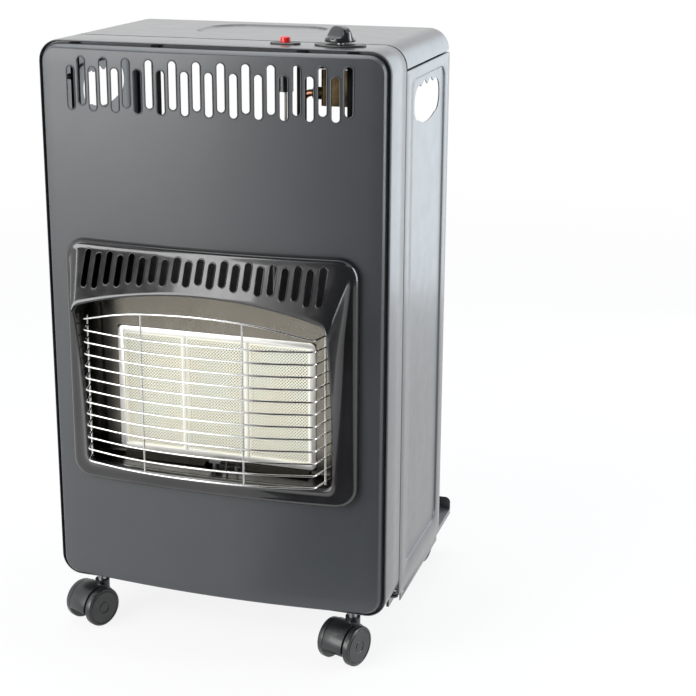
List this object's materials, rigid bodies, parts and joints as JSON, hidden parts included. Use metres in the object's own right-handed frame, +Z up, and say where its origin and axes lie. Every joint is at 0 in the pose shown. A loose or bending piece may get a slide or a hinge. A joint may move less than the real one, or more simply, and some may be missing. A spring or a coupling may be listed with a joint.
{
  "type": "portable gas cabinet heater",
  "caption": "Folding steel cabinet heater on castors, with a guarded radiant gas burner in its bowed front and a bottle bay behind.",
  "frame": {"origin": "on the floor, at the middle of the opened heater's width and depth", "axes": "+X to the right seen from the front, +Y from the front to the back, +Z up"},
  "size_m": [0.42, 0.4246, 0.748],
  "materials": {
    "cabinet_paint": "semi-gloss slate grey",
    "black_enamel": "gloss black enamel",
    "chrome_wire": "bright",
    "ceramic": "matt cream, fine perforations",
    "bright_steel": "satin",
    "dark_steel": "heat-darkened satin",
    "zinc_steel": "zinc plated",
    "valve_brass": "machined",
    "copper": "drawn copper pipe",
    "gloss_black": "gloss black",
    "castor_black": "satin black",
    "red_plastic": "gloss red",
    "lead_sleeve": "heat-proof sleeve"
  },
  "bodies": {
    "cabinet": {"front_casing": "cabinet_paint", "front_panel": "cabinet_paint", "slot_braces": "dark_steel", "burner_bezel": "black_enamel", "reflector_box": "dark_steel", "reflector_back": "bright_steel", "lower_strip": "bright_steel", "plaque_left": "ceramic", "plaque_centre": "ceramic", "plaque_right": "ceramic", "plaque_frame": "bright_steel", "burner_plenum": "dark_steel", "mixer_tubes": "dark_steel", "gas_manifold": "dark_steel", "gas_jets": "valve_brass", "heat_shield": "zinc_steel", "burner_brackets": "zinc_steel", "pilot_bracket": "dark_steel", "pilot_burner": "dark_steel", "thermocouple": "dark_steel", "spark_electrode": "dark_steel", "wire_guard": "chrome_wire", "knob_plate": "gloss_black", "gas_valve": "valve_brass", "valve_bracket": "zinc_steel", "return_spring": "zinc_steel", "igniter_ring": "gloss_black", "igniter_body": "gloss_black", "burner_pipe": "copper", "inlet_pipe": "copper", "inlet_bracket": "zinc_steel", "inlet_nozzle": "valve_brass", "ignition_lead": "lead_sleeve", "lower_bracket": "cabinet_paint", "upper_brackets": "cabinet_paint", "hinge_pins": "zinc_steel", "base_pins": "zinc_steel", "cover_brackets": "cabinet_paint", "castor_sockets": "zinc_steel", "castor_stem_front_left": "zinc_steel", "castor_stem_front_right": "zinc_steel", "shield_screws": "zinc_steel"},
    "side_left": {"side_panel_left": "cabinet_paint"},
    "side_right": {"side_panel_right": "cabinet_paint"},
    "base": {"base_tray": "cabinet_paint", "base_sockets": "zinc_steel", "castor_stem_rear_left": "zinc_steel", "castor_stem_rear_right": "zinc_steel"},
    "cover": {"top_cover": "cabinet_paint"},
    "valve_stem": {"push_spindle": "zinc_steel"},
    "knob": {"knob": "gloss_black"},
    "igniter_button": {"igniter_button": "red_plastic"},
    "castor_front_left": {"castor_hood_front_left": "castor_black"},
    "wheels_front_left": {"castor_wheels_front_left": "castor_black"},
    "castor_front_right": {"castor_hood_front_right": "castor_black"},
    "wheels_front_right": {"castor_wheels_front_right": "castor_black"},
    "castor_rear_left": {"castor_hood_rear_left": "castor_black"},
    "wheels_rear_left": {"castor_wheels_rear_left": "castor_black"},
    "castor_rear_right": {"castor_hood_rear_right": "castor_black"},
    "wheels_rear_right": {"castor_wheels_rear_right": "castor_black"}
  },
  "joints": [
    {"name": "side_left_fold", "type": "hinge", "parent": "cabinet", "child": "side_left", "pos_m": [-0.203, -0.0717, 0.38], "axis": [0, 0, -1], "range_deg": [0, 90]},
    {"name": "side_right_fold", "type": "hinge", "parent": "cabinet", "child": "side_right", "pos_m": [0.203, -0.0717, 0.38], "axis": [0, 0, 1], "range_deg": [0, 90]},
    {"name": "base_fold", "type": "hinge", "parent": "cabinet", "child": "base", "pos_m": [0, -0.0397, 0.052], "axis": [1, 0, 0], "range_deg": [0, 90]},
    {"name": "cover_lift", "type": "hinge", "parent": "cabinet", "child": "cover", "pos_m": [0, -0.0717, 0.721], "axis": [1, 0, 0], "range_deg": [0, 90]},
    {"name": "knob_push", "type": "slide", "parent": "cabinet", "child": "valve_stem", "axis": [0, 0, -1], "range_m": [0, 0.0027], "stiffness_N_per_m": 1500, "springref_m": -0.002},
    {"name": "knob_turn", "type": "hinge", "parent": "valve_stem", "child": "knob", "pos_m": [0.141, -0.1027, 0.735], "axis": [0, 0, 1], "range_deg": [0, 240]},
    {"name": "igniter_press", "type": "slide", "parent": "cabinet", "child": "igniter_button", "axis": [0, 0, -1], "range_m": [0, 0.004], "stiffness_N_per_m": 1200, "springref_m": -0.002},
    {"name": "swivel_front_left", "type": "hinge", "parent": "cabinet", "child": "castor_front_left", "pos_m": [-0.165, -0.1197, 0.04], "axis": [0, 0, 1], "continuous": true},
    {"name": "roll_front_left", "type": "hinge", "parent": "castor_front_left", "child": "wheels_front_left", "pos_m": [-0.17218, -0.13511, 0.0245], "axis": [0.9063, -0.4226, 0], "continuous": true},
    {"name": "swivel_front_right", "type": "hinge", "parent": "cabinet", "child": "castor_front_right", "pos_m": [0.165, -0.1197, 0.04], "axis": [0, 0, 1], "continuous": true},
    {"name": "roll_front_right", "type": "hinge", "parent": "castor_front_right", "child": "wheels_front_right", "pos_m": [0.15919, -0.13567, 0.0245], "axis": [0.9397, -0.342, 0], "continuous": true},
    {"name": "swivel_rear_left", "type": "hinge", "parent": "base", "child": "castor_rear_left", "pos_m": [-0.165, 0.1823, 0.04], "axis": [0, 0, 1], "continuous": true},
    {"name": "roll_rear_left", "type": "hinge", "parent": "castor_rear_left", "child": "wheels_rear_left", "pos_m": [-0.16737, 0.16547, 0.0245], "axis": [0.9903, -0.1392, 0], "continuous": true},
    {"name": "swivel_rear_right", "type": "hinge", "parent": "base", "child": "castor_rear_right", "pos_m": [0.165, 0.1823, 0.04], "axis": [0, 0, 1], "continuous": true},
    {"name": "roll_rear_right", "type": "hinge", "parent": "castor_rear_right", "child": "wheels_rear_right", "pos_m": [0.16263, 0.16547, 0.0245], "axis": [0.9903, -0.1392, 0], "continuous": true}
  ]
}
